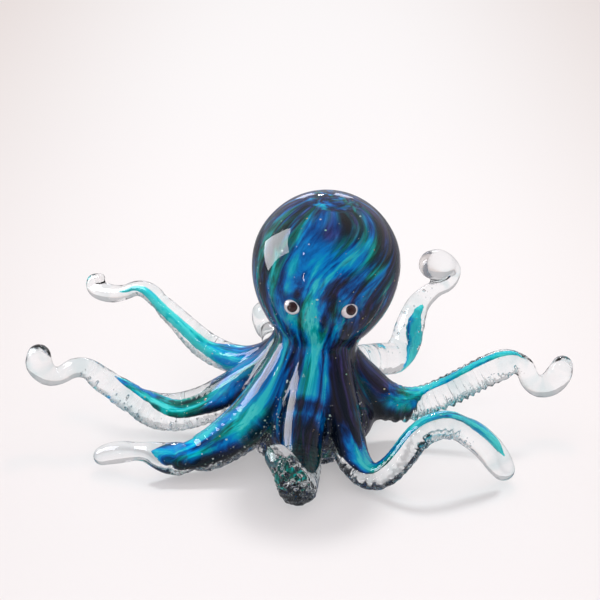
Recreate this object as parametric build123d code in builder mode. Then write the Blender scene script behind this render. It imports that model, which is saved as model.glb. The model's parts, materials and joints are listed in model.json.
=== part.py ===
"""Hand-made glass octopus: a round head on a fluted neck, eight arms with curled clear tips, two bead eyes.

Millimetres, +Z up. The face looks along -Y. The origin is the middle of the ground base that it stands on.
Clear glass is laid over a layer of coloured glass, which is laid over a clear core. Each arm is drawn out of
clear glass, with a ribbon of the coloured glass drawn out inside it.
"""

import os
from math import asin, cos, radians, sin, sqrt
from operator import mul

from build123d import *

# Mantle: the head, the neck and the skirt, turned about one leaning axis
head_radius = 28.0
head_lower_radius = 40.0
head_height = 76.5
neck_radius = 15.6
neck_hollow_radius = 11.0
flare_radius = 30.0
flare_turn = 40.0
skirt_radius = 13.0
skirt_undercut_turn = 55.0
mantle_lean = 6.0
footing = 10.0

# Layers of glass in the mantle
casing_wall = 1.7
colour_wall = 3.2
base_floor = 2.6

# Eyes: a white bead pressed on the head, and a dark bead pressed on that
white_radius = 3.3
white_half_depth = 2.9
white_rise = 2.1
pupil_radius = 2.0
pupil_half_depth = 1.1
pupil_rise = 0.5
eye_drop = {"left": 9.6, "right": 8.3}
eye_turn = {"left": -117.0, "right": -70.0}
gaze_turn = {"left": -93.0, "right": -71.0}
gaze_rise = {"left": 13.0, "right": 20.0}

# Arms: a full section, and the direction, reach and rise of each arm
arm_half_width = 8.5
arm_half_depth = 8.0
sector_reach = 160.0
arm_turn = {
    "front": -95.0,
    "front_right": -58.0,
    "right": 6.0,
    "back_right": 46.0,
    "back": 101.0,
    "back_left": 150.0,
    "left": 179.0,
    "front_left": -150.0,
}
arm_reach = {
    "front": 56.0,
    "front_right": 69.0,
    "right": 102.0,
    "back_right": 92.0,
    "back": 90.0,
    "back_left": 100.0,
    "left": 104.0,
    "front_left": 79.0,
}
arm_rise = {
    "front": 18.0,
    "front_right": 26.0,
    "right": 31.0,
    "back_right": 52.0,
    "back": 18.0,
    "back_left": 48.0,
    "left": 36.0,
    "front_left": 10.0,
}

# Where the arms part from each other, as turns about the leaning axis, in the order of the arms above
arm_parting = [-118.0, -72.0, -18.0, 27.0, 75.0, 124.0, 162.0, 190.5, 242.0]

# Stations along each arm: how far out and sideways, as shares of its reach, how high, as a share of the root
# height for the first four and of the arm's rise after them, then the width and depth, as shares of the full
# section
arm_root_height = 58.0
root_stations = 4
rows_between = 3
tip_ring_turns = (20, 40, 60, 75)
arm_station_shares = {
    "front": [
        (0.16, 0.01, 1.00, 0.68, 0.58),
        (0.19, 0.01, 0.77, 0.78, 0.78),
        (0.27, 0.02, 0.58, 0.90, 0.84),
        (0.40, 0.02, 0.42, 0.96, 0.92),
        (0.54, 0.02, 0.96, 0.96, 0.94),
        (0.68, 0.03, 0.64, 0.92, 0.92),
        (0.81, 0.03, 0.46, 0.88, 0.88),
        (0.92, 0.03, 0.42, 0.86, 0.86),
        (1.00, 0.02, 0.60, 0.80, 0.80),
        (1.01, -0.02, 0.86, 0.70, 0.70),
        (0.96, -0.07, 1.02, 0.62, 0.64),
        (0.89, -0.11, 1.04, 0.58, 0.58),
    ],
    "front_right": [
        (0.13, 0.02, 1.00, 0.68, 0.58),
        (0.155, 0.02, 0.77, 0.78, 0.78),
        (0.22, 0.02, 0.58, 0.90, 0.84),
        (0.32, 0.01, 0.42, 0.94, 0.90),
        (0.43, -0.01, 0.62, 0.90, 0.84),
        (0.54, -0.03, 0.38, 0.78, 0.74),
        (0.64, -0.02, 0.24, 0.68, 0.66),
        (0.71, 0.02, 0.24, 0.62, 0.64),
        (0.76, 0.075, 0.39, 0.62, 0.64),
        (0.795, 0.125, 0.60, 0.62, 0.64),
        (0.815, 0.18, 0.81, 0.62, 0.64),
        (0.84, 0.25, 0.97, 0.64, 0.66),
        (0.865, 0.35, 1.01, 0.64, 0.67),
        (0.89, 0.44, 0.91, 0.66, 0.68),
        (0.925, 0.52, 0.75, 0.66, 0.68),
        (0.96, 0.585, 0.55, 0.66, 0.68),
        (0.99, 0.63, 0.34, 0.62, 0.64),
        (1.00, 0.65, 0.24, 0.55, 0.56),
    ],
    "right": [
        (0.09, 0.00, 1.00, 0.66, 0.58),
        (0.107, 0.00, 0.74, 0.76, 0.70),
        (0.145, 0.00, 0.60, 0.88, 0.84),
        (0.22, 0.00, 0.44, 0.96, 0.98),
        (0.285, 0.00, 0.60, 0.96, 1.02),
        (0.38, 0.00, 0.49, 0.84, 0.86),
        (0.465, 0.00, 0.53, 0.74, 0.76),
        (0.55, 0.00, 0.64, 0.68, 0.78),
        (0.62, 0.00, 0.76, 0.62, 0.78),
        (0.685, 0.00, 0.87, 0.58, 0.80),
        (0.755, 0.00, 0.97, 0.54, 0.80),
        (0.81, 0.00, 1.00, 0.50, 0.70),
        (0.853, 0.00, 0.93, 0.47, 0.50),
        (0.873, 0.00, 0.76, 0.47, 0.50),
        (0.912, 0.00, 0.65, 0.52, 0.54),
        (0.96, 0.00, 0.69, 0.58, 0.62),
        (0.99, 0.00, 0.82, 0.60, 0.64),
        (1.00, 0.00, 0.92, 0.52, 0.54),
    ],
    "back_right": [
        (0.10, 0.00, 0.98, 0.66, 0.58),
        (0.12, 0.00, 0.74, 0.74, 0.68),
        (0.18, 0.00, 0.57, 0.84, 0.80),
        (0.27, 0.00, 0.47, 0.80, 0.82),
        (0.37, 0.00, 0.48, 0.76, 0.80),
        (0.47, 0.00, 0.44, 0.74, 0.80),
        (0.57, 0.00, 0.39, 0.76, 0.82),
        (0.64, 0.00, 0.46, 0.75, 0.79),
        (0.668, 0.00, 0.58, 0.72, 0.77),
        (0.706, 0.00, 0.72, 0.60, 0.64),
        (0.755, 0.00, 0.79, 0.51, 0.54),
        (0.845, 0.00, 0.835, 0.41, 0.44),
        (0.92, 0.00, 0.825, 0.33, 0.35),
        (0.965, 0.00, 0.86, 0.30, 0.32),
        (0.97, 0.00, 0.93, 0.36, 0.38),
        (0.935, 0.00, 0.985, 0.48, 0.50),
        (0.895, 0.00, 1.015, 0.66, 0.69),
        (0.855, 0.00, 1.035, 0.76, 0.80),
        (0.825, 0.00, 1.05, 0.72, 0.76),
    ],
    "back": [
        (0.10, 0.00, 0.98, 0.66, 0.58),
        (0.12, 0.00, 0.74, 0.74, 0.68),
        (0.18, 0.00, 0.57, 0.84, 0.80),
        (0.28, 0.00, 0.42, 0.86, 0.84),
        (0.41, 0.00, 0.64, 0.84, 0.82),
        (0.54, 0.00, 0.62, 0.78, 0.76),
        (0.66, 0.00, 0.74, 0.70, 0.68),
        (0.76, 0.00, 0.88, 0.62, 0.60),
        (0.85, 0.00, 0.90, 0.54, 0.54),
        (0.92, 0.00, 0.76, 0.48, 0.50),
        (0.99, 0.00, 0.68, 0.50, 0.52),
        (1.05, 0.00, 0.78, 0.56, 0.58),
        (1.06, 0.00, 0.98, 0.56, 0.56),
        (1.01, 0.00, 1.10, 0.48, 0.48),
    ],
    "back_left": [
        (0.10, 0.00, 0.98, 0.66, 0.58),
        (0.12, 0.00, 0.74, 0.73, 0.70),
        (0.17, 0.00, 0.60, 0.78, 0.76),
        (0.25, 0.00, 0.52, 0.76, 0.74),
        (0.33, 0.00, 0.61, 0.72, 0.72),
        (0.40, 0.00, 0.63, 0.70, 0.72),
        (0.48, 0.00, 0.69, 0.66, 0.70),
        (0.59, 0.00, 0.85, 0.54, 0.56),
        (0.66, 0.00, 0.95, 0.49, 0.51),
        (0.72, 0.00, 1.04, 0.44, 0.46),
        (0.78, 0.00, 1.05, 0.37, 0.39),
        (0.84, 0.00, 0.99, 0.37, 0.39),
        (0.90, 0.00, 0.95, 0.44, 0.46),
        (0.965, 0.00, 0.95, 0.46, 0.48),
        (1.00, 0.00, 0.97, 0.36, 0.37),
        (1.00, 0.00, 1.04, 0.28, 0.29),
        (0.96, 0.00, 1.07, 0.22, 0.23),
    ],
    "left": [
        (0.09, 0.00, 1.00, 0.62, 0.58),
        (0.112, 0.00, 0.75, 0.68, 0.70),
        (0.15, 0.00, 0.59, 0.76, 0.80),
        (0.22, 0.00, 0.47, 0.82, 0.90),
        (0.30, 0.00, 0.57, 0.88, 1.00),
        (0.385, 0.00, 0.45, 0.88, 0.94),
        (0.48, 0.00, 0.37, 0.88, 0.94),
        (0.56, 0.00, 0.38, 0.84, 0.90),
        (0.635, 0.00, 0.49, 0.72, 0.76),
        (0.70, 0.00, 0.62, 0.64, 0.68),
        (0.765, 0.00, 0.76, 0.57, 0.61),
        (0.815, 0.00, 0.88, 0.47, 0.50),
        (0.87, 0.00, 0.88, 0.46, 0.48),
        (0.92, 0.00, 0.79, 0.42, 0.42),
        (0.965, 0.00, 0.80, 0.52, 0.54),
        (0.995, 0.00, 0.92, 0.62, 0.66),
        (0.995, 0.00, 1.02, 0.55, 0.60),
    ],
    "front_left": [
        (0.115, 0.02, 1.00, 0.68, 0.58),
        (0.14, 0.02, 0.77, 0.78, 0.70),
        (0.19, 0.03, 0.59, 0.92, 0.86),
        (0.27, 0.04, 0.42, 1.06, 1.00),
        (0.365, 0.05, 1.66, 1.12, 1.10),
        (0.445, 0.05, 1.32, 1.08, 1.08),
        (0.53, 0.045, 1.02, 0.98, 0.98),
        (0.63, 0.03, 0.80, 0.88, 0.90),
        (0.71, 0.01, 0.76, 0.80, 0.82),
        (0.775, -0.01, 0.88, 0.70, 0.72),
        (0.83, -0.055, 1.03, 0.54, 0.54),
        (0.87, -0.105, 1.00, 0.44, 0.44),
        (0.92, -0.15, 0.92, 0.52, 0.52),
        (0.965, -0.195, 0.80, 0.56, 0.52),
        (1.00, -0.225, 0.66, 0.50, 0.46),
    ],
}

# The ribbon of colour at each station, until it runs out to a point at the next: its width, depth and
# upward offset, as shares of the arm's own width, depth and depth
root_shares = [(0.86, 0.80, 0.0), (0.86, 0.82, 0.0), (0.86, 0.83, 0.0)]
ribbon_shares = {
    "front": root_shares + [(0.88, 0.84, 0.05), (0.86, 0.76, 0.10), (0.80, 0.60, 0.20), (0.60, 0.36, 0.30)],
    "front_right": root_shares
    + [
        (0.86, 0.80, 0.04),
        (0.84, 0.70, 0.14),
        (0.74, 0.50, 0.34),
        (0.70, 0.36, 0.48),
        (0.66, 0.30, 0.52),
        (0.64, 0.28, 0.52),
        (0.64, 0.28, 0.52),
        (0.64, 0.28, 0.52),
        (0.64, 0.29, 0.52),
        (0.64, 0.30, 0.50),
        (0.68, 0.32, 0.46),
        (0.68, 0.32, 0.42),
        (0.56, 0.24, 0.40),
    ],
    "right": root_shares
    + [
        (0.88, 0.88, 0.0),
        (0.88, 0.88, 0.0),
        (0.84, 0.84, 0.0),
        (0.52, 0.22, 0.62),
        (0.50, 0.20, 0.64),
        (0.50, 0.20, 0.64),
        (0.50, 0.20, 0.64),
        (0.48, 0.19, 0.64),
        (0.38, 0.16, 0.62),
    ],
    "back_right": root_shares
    + [
        (0.74, 0.56, -0.20),
        (0.56, 0.32, -0.48),
        (0.44, 0.18, -0.66),
        (0.42, 0.17, -0.68),
        (0.50, 0.24, -0.58),
        (0.64, 0.44, -0.38),
        (0.48, 0.32, -0.28),
    ],
    "back": root_shares + [(0.76, 0.60, 0.0), (0.64, 0.42, 0.16), (0.56, 0.32, 0.30), (0.50, 0.26, 0.38)],
    "back_left": root_shares
    + [
        (0.78, 0.62, -0.05),
        (0.72, 0.52, -0.05),
        (0.68, 0.46, -0.05),
        (0.66, 0.44, -0.08),
        (0.66, 0.46, -0.20),
        (0.66, 0.46, -0.26),
        (0.62, 0.42, -0.20),
        (0.54, 0.34, 0.00),
        (0.36, 0.22, 0.10),
    ],
    "left": root_shares
    + [
        (0.84, 0.76, 0.05),
        (0.78, 0.52, 0.02),
        (0.64, 0.30, 0.00),
        (0.58, 0.24, 0.06),
        (0.54, 0.21, 0.34),
        (0.50, 0.19, 0.60),
        (0.38, 0.15, 0.66),
    ],
    "front_left": root_shares
    + [
        (0.88, 0.82, 0.08),
        (0.88, 0.76, 0.14),
        (0.88, 0.72, 0.18),
        (0.86, 0.68, 0.20),
        (0.84, 0.66, 0.20),
        (0.78, 0.60, 0.16),
        (0.60, 0.42, 0.10),
    ],
}


def mantle_layer(inset, cut_height):
    """The mantle inset by a depth of glass, leaning, and cut level at a height."""
    head = head_radius - inset
    lower = head_lower_radius - inset
    hollow = neck_hollow_radius + inset
    flare = flare_radius + inset
    skirt = skirt_radius - inset
    beyond_axis = head_lower_radius - head_radius
    hollow_out = neck_radius + neck_hollow_radius
    lower_to_hollow = head_lower_radius + neck_hollow_radius
    neck_drop = sqrt(lower_to_hollow**2 - (hollow_out + beyond_axis) ** 2)
    neck_height = head_height - neck_drop
    meet_turn = asin(neck_drop / lower_to_hollow)
    leave_turn = radians(flare_turn)
    foot_turn = radians(skirt_undercut_turn)
    flare_out = neck_radius + flare_radius
    skirt_out = flare_out - (flare_radius + skirt_radius) * cos(leave_turn)
    skirt_height = neck_height - (flare_radius + skirt_radius) * sin(leave_turn)

    def on_head(turn):
        return head * cos(turn), head_height + head * sin(turn)

    def on_lower(turn):
        return lower * cos(turn) - beyond_axis, head_height - lower * sin(turn)

    def on_hollow(turn):
        return hollow_out - hollow * cos(turn), neck_height + hollow * sin(turn)

    def on_flare(turn):
        return flare_out - flare * cos(turn), neck_height - flare * sin(turn)

    def on_skirt(turn):
        return skirt_out + skirt * cos(turn), skirt_height - skirt * sin(turn)

    foot = on_skirt(foot_turn)
    with BuildPart() as upright:
        with BuildSketch(Plane.XZ):
            with BuildLine():
                ThreePointArc((0, head_height + head), on_head(radians(45)), on_head(0))
                ThreePointArc(on_head(0), on_lower(meet_turn / 2), on_lower(meet_turn))
                ThreePointArc(on_lower(meet_turn), on_hollow(meet_turn / 2), on_hollow(0))
                ThreePointArc(on_hollow(0), on_flare(leave_turn / 2), on_flare(leave_turn))
                ThreePointArc(on_flare(leave_turn), on_skirt(0), foot)
                Polyline(foot, (foot[0], -footing), (0, -footing), (0, head_height + head))
            make_face()
        revolve(axis=Axis.Z)
    with BuildPart() as layer:
        add(upright.part.rotate(Axis.Y, mantle_lean))
        split(bisect_by=Plane.XY.offset(cut_height), keep=Keep.TOP)
    return layer.part


def filled_in(rows):
    """The rows with more rows between them, on smooth curves that pass through them all."""
    full = []
    for before, start, end, after in zip(rows[:1] + rows, rows, rows[1:], rows[2:] + rows[-1:]):
        for step in range(rows_between):
            way = step / rows_between
            weights = (
                (-way + 2 * way**2 - way**3) / 2,
                (2 - 5 * way**2 + 3 * way**3) / 2,
                (way + 4 * way**2 - 3 * way**3) / 2,
                (way**3 - way**2) / 2,
            )
            columns = zip(before, start, end, after)
            full.append(tuple(sum(map(mul, weights, four)) for four in columns))
    return full + rows[-1:]


def arm_sections(name):
    """The arm's sections from root to tip: a plane square to the arm, a half width and a half depth.

    Each plane has its X to the side and its Y upwards, and takes them from the one before without twist.
    """
    out = Vector(cos(radians(arm_turn[name])), sin(radians(arm_turn[name])), 0)
    side = Vector(0, 0, 1).cross(out)
    lean = Vector(sin(radians(mantle_lean)), 0, 0)
    stations = []
    for number, (out_share, side_share, up_share, *section) in enumerate(arm_station_shares[name]):
        flat = (out * out_share + side * side_share) * arm_reach[name]
        height = up_share * (arm_root_height if number < root_stations else arm_rise[name])
        lean_share = max(0.0, 1 - number / root_stations)
        middle = flat + Vector(0, 0, height) + lean * (height * lean_share)
        stations.append((middle.X, middle.Y, middle.Z, *section))
    stations = filled_in(stations)
    spine = [Vector(*station[:3]) for station in stations]
    across = side
    sections = []
    for before, point, after, station in zip(spine[:1] + spine, spine, spine[1:] + spine[-1:], stations):
        along = (after - before).normalized()
        across = (across - along * across.dot(along)).normalized()
        plane = Plane(origin=point, x_dir=across, z_dir=along)
        sections.append((plane, arm_half_width * station[3], arm_half_depth * station[4]))
    return sections


def sector(name):
    """The wedge of space that the arm keeps to, between two planes through the leaning axis."""
    number = list(arm_turn).index(name)
    start, end = arm_parting[number : number + 2]
    turns = [radians(turn) for turn in (start, (start + end) / 2, end)]
    rim = [(sector_reach * cos(turn), sector_reach * sin(turn)) for turn in turns]
    up = Vector(sin(radians(mantle_lean)), 0, cos(radians(mantle_lean)))
    with BuildPart() as wedge:
        with BuildSketch(Plane.XY):
            Polygon((0, 0), *rim, align=None)
        extrude(amount=sector_reach, dir=up)
    return wedge.part


def arm_form(name):
    """The whole outer form of an arm, with a round tip."""
    sections = arm_sections(name)
    last, tip_width, tip_depth = sections[-1]
    for turn in tip_ring_turns:
        share = cos(radians(turn))
        ring_plane = last.offset(tip_depth * sin(radians(turn)))
        sections.append((ring_plane, tip_width * share, tip_depth * share))
    with BuildPart() as form:
        for plane, half_width, half_depth in sections:
            with BuildSketch(plane):
                Ellipse(half_width, half_depth)
        loft(sections=[*form.pending_faces, Vertex(last.origin + last.z_dir * tip_depth)], ruled=True)
        add(sector(name), mode=Mode.INTERSECT)
    return form.part


def ribbon_form(name):
    """The ribbon of colour inside an arm, which runs out to a point."""
    sections = arm_sections(name)
    stations = filled_in(ribbon_shares[name])
    lifted = []
    for (plane, half_width, half_depth), (across, deep, up) in zip(sections, stations):
        origin = plane.origin + plane.y_dir * (half_depth * up)
        raised = Plane(origin, x_dir=plane.x_dir, z_dir=plane.z_dir)
        lifted.append((raised, half_width * across, half_depth * deep))
    beyond, _, depth_beyond = sections[len(stations) + rows_between - 1]
    tip = beyond.origin + beyond.y_dir * (depth_beyond * up)
    with BuildPart() as form:
        for plane, half_width, half_depth in lifted:
            with BuildSketch(plane):
                Ellipse(half_width, half_depth)
        loft(sections=[*form.pending_faces, Vertex(tip)], ruled=True)
        add(sector(name), mode=Mode.INTERSECT)
    return form.part


def eye_place(side):
    """The middle of a white bead on the leaning head, and the way that the bead faces."""
    turn = radians(eye_turn[side])
    level = sqrt(head_lower_radius**2 - eye_drop[side] ** 2)
    facing = Vector(level * cos(turn), level * sin(turn), -eye_drop[side]).normalized()
    arc_middle = Vector(cos(turn), sin(turn)) * (head_radius - head_lower_radius) + Vector(0, 0, head_height)
    middle = arc_middle + facing * (head_lower_radius + white_rise - white_half_depth)
    return middle.rotate(Axis.Y, mantle_lean), facing.rotate(Axis.Y, mantle_lean)


def pupil_place(side):
    """The middle of a dark bead, which stands proud of the white one, and the way that it looks."""
    middle, facing = eye_place(side)
    turn = radians(gaze_turn[side])
    rise = radians(gaze_rise[side])
    gaze = Vector(cos(rise) * cos(turn), cos(rise) * sin(turn), sin(rise))
    share = gaze.dot(facing)
    white_reach = 1 / sqrt(share**2 / white_half_depth**2 + (1 - share**2) / white_radius**2)
    return middle + gaze * (white_reach + pupil_rise - pupil_half_depth), gaze


def bead(middle, facing, radius, half_depth):
    """A round bead of glass, flattened the way that it faces."""
    with BuildPart() as flattened:
        Sphere(radius)
        scale(by=(1, 1, half_depth / radius))
    return flattened.part.moved(Plane(origin=middle, z_dir=facing).location)


def save(piece, name):
    """Write one piece under its node's name."""
    piece.label = name
    export_step(piece, f"parts/{name}.step")


def main():
    os.makedirs("parts", exist_ok=True)
    outer = mantle_layer(0, 0)
    coloured = mantle_layer(casing_wall, base_floor)
    core = mantle_layer(casing_wall + colour_wall, base_floor + colour_wall)

    with BuildPart() as mantle_core:
        add(core)
    save(mantle_core.part, "mantle_core")

    with BuildPart() as mantle_colour:
        add(coloured)
        add(core, mode=Mode.SUBTRACT)
    save(mantle_colour.part, "mantle_colour")

    ribbon_forms = {name: ribbon_form(name) for name in arm_turn}
    for name, form in ribbon_forms.items():
        with BuildPart() as ribbon:
            add(form)
            add(coloured, mode=Mode.SUBTRACT)
        save(ribbon.part, f"ribbon_{name}")

    for name, form in ribbon_forms.items():
        with BuildPart() as arm:
            add(arm_form(name))
            add(outer, mode=Mode.SUBTRACT)
            add(form, mode=Mode.SUBTRACT)
        save(arm.part, f"arm_{name}")

    with BuildPart() as mantle_casing:
        add(outer)
        add(coloured, mode=Mode.SUBTRACT)
        for form in ribbon_forms.values():
            add(form, mode=Mode.SUBTRACT)
    save(mantle_casing.part, "mantle_casing")

    for side in eye_turn:
        with BuildPart() as pupil:
            add(bead(*pupil_place(side), pupil_radius, pupil_half_depth))
            add(outer, mode=Mode.SUBTRACT)
        save(pupil.part, f"pupil_{side}")
        with BuildPart() as eye_white:
            add(bead(*eye_place(side), white_radius, white_half_depth))
            add(outer, mode=Mode.SUBTRACT)
            add(pupil.part, mode=Mode.SUBTRACT)
        save(eye_white.part, f"eye_white_{side}")


if __name__ == "__main__":
    main()
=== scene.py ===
"""The look of a hand-made glass octopus: clear glass over streaked blue-green glass, and bead eyes.

Metres, +Z up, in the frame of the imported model. The face looks along -Y. The clear skin and the coloured
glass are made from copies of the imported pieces, fused and smoothed, and parted again at the arms' roots.
"""

import json
import random
from collections import namedtuple
from math import cos, hypot, pi, radians, sin

import bpy
import numpy as np
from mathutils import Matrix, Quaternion, Vector
from mathutils.bvhtree import BVHTree
from mathutils.kdtree import KDTree

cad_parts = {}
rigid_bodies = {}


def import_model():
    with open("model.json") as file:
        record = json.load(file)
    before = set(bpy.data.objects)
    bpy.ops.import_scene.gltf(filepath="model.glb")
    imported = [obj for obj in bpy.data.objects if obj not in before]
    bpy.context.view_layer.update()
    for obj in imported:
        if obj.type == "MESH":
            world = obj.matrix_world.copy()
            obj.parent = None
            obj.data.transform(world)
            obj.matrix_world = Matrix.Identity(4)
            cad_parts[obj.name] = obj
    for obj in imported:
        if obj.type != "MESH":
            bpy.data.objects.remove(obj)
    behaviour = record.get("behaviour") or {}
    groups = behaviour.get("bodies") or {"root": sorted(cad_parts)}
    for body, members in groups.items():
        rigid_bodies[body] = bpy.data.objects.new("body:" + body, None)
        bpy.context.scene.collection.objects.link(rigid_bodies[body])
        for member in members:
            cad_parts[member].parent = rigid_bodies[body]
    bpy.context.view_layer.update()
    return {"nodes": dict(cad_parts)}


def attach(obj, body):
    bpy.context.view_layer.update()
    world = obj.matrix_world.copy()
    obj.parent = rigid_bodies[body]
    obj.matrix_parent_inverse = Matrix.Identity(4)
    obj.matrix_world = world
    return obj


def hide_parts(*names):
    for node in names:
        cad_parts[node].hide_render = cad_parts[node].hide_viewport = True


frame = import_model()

MM = 0.001

# How the mantle leans, and where its head is
mantle_lean = radians(6)
head_height = 76.5
head_radius = 28

# Arms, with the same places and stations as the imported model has
arm_half_width = 8.5
arm_half_depth = 8
arm_root_height = 58
root_stations = 4
rows_between = 6

# Each arm's turn about the mantle in degrees, and in millimetres its reach, its rise, and how far out it is
# parted from the mantle
arm_sizes = {
    "front": (-95, 56, 18, 35),
    "front_right": (-58, 69, 26, 37),
    "right": (6, 102, 31, 38),
    "back_right": (46, 92, 52, 36),
    "back": (101, 90, 18, 38),
    "back_left": (150, 100, 48, 43),
    "left": (179, 104, 36, 46),
    "front_left": (-150, 79, 10, 44),
}
arm_names = list(arm_sizes)
columns = zip(*arm_sizes.values())
arm_turn, arm_reach, arm_rise, parting = (dict(zip(arm_names, column)) for column in columns)

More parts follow.
